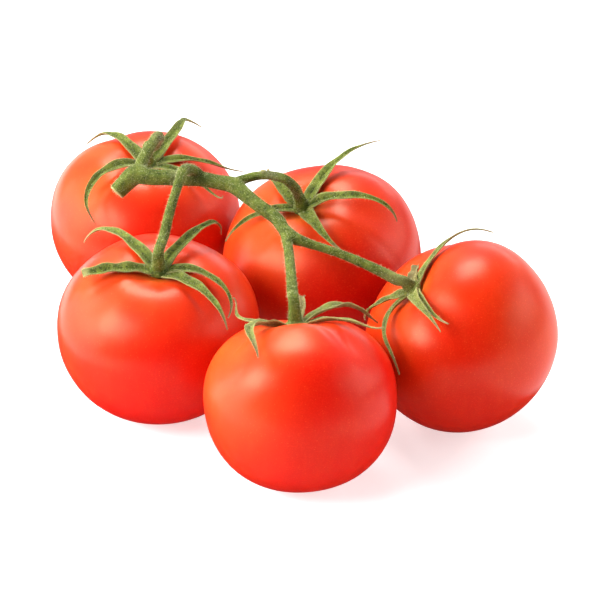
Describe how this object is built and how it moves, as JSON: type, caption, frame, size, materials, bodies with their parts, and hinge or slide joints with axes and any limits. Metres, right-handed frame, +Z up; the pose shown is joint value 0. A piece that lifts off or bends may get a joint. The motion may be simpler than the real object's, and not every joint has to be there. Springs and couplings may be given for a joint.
{
  "type": "truss of tomatoes",
  "caption": "Truss of ripe red round tomatoes on a green vine stem with curling sepals, lying on a surface",
  "frame": {"origin": "On the surface that the bunch lies on, under the middle of its bounding box.", "axes": "+Z is up, out of the surface, towards the stem. -Y is the side of the front fruit, the side that the picture is taken from, and +X is to the right as seen from there. The bunch is longest along Y."},
  "size_m": [0.1784, 0.1928, 0.0778],
  "materials": {
    "tomato_skin": "smooth, glossy, waxy red skin with a soft orange flush",
    "sepal_green": "matt, finely hairy green with paler edges and dry brown tips",
    "stem_green": "matt, finely hairy green, pale where it is cut"
  },
  "bodies": {
    "root": {"tomato_1": "tomato_skin", "tomato_2": "tomato_skin", "tomato_3": "tomato_skin", "tomato_4": "tomato_skin", "tomato_5": "tomato_skin", "calyx_1": "sepal_green", "calyx_2": "sepal_green", "calyx_3": "sepal_green", "calyx_4": "sepal_green", "calyx_5": "sepal_green", "truss_stem": "stem_green"}
  },
  "joints": []
}
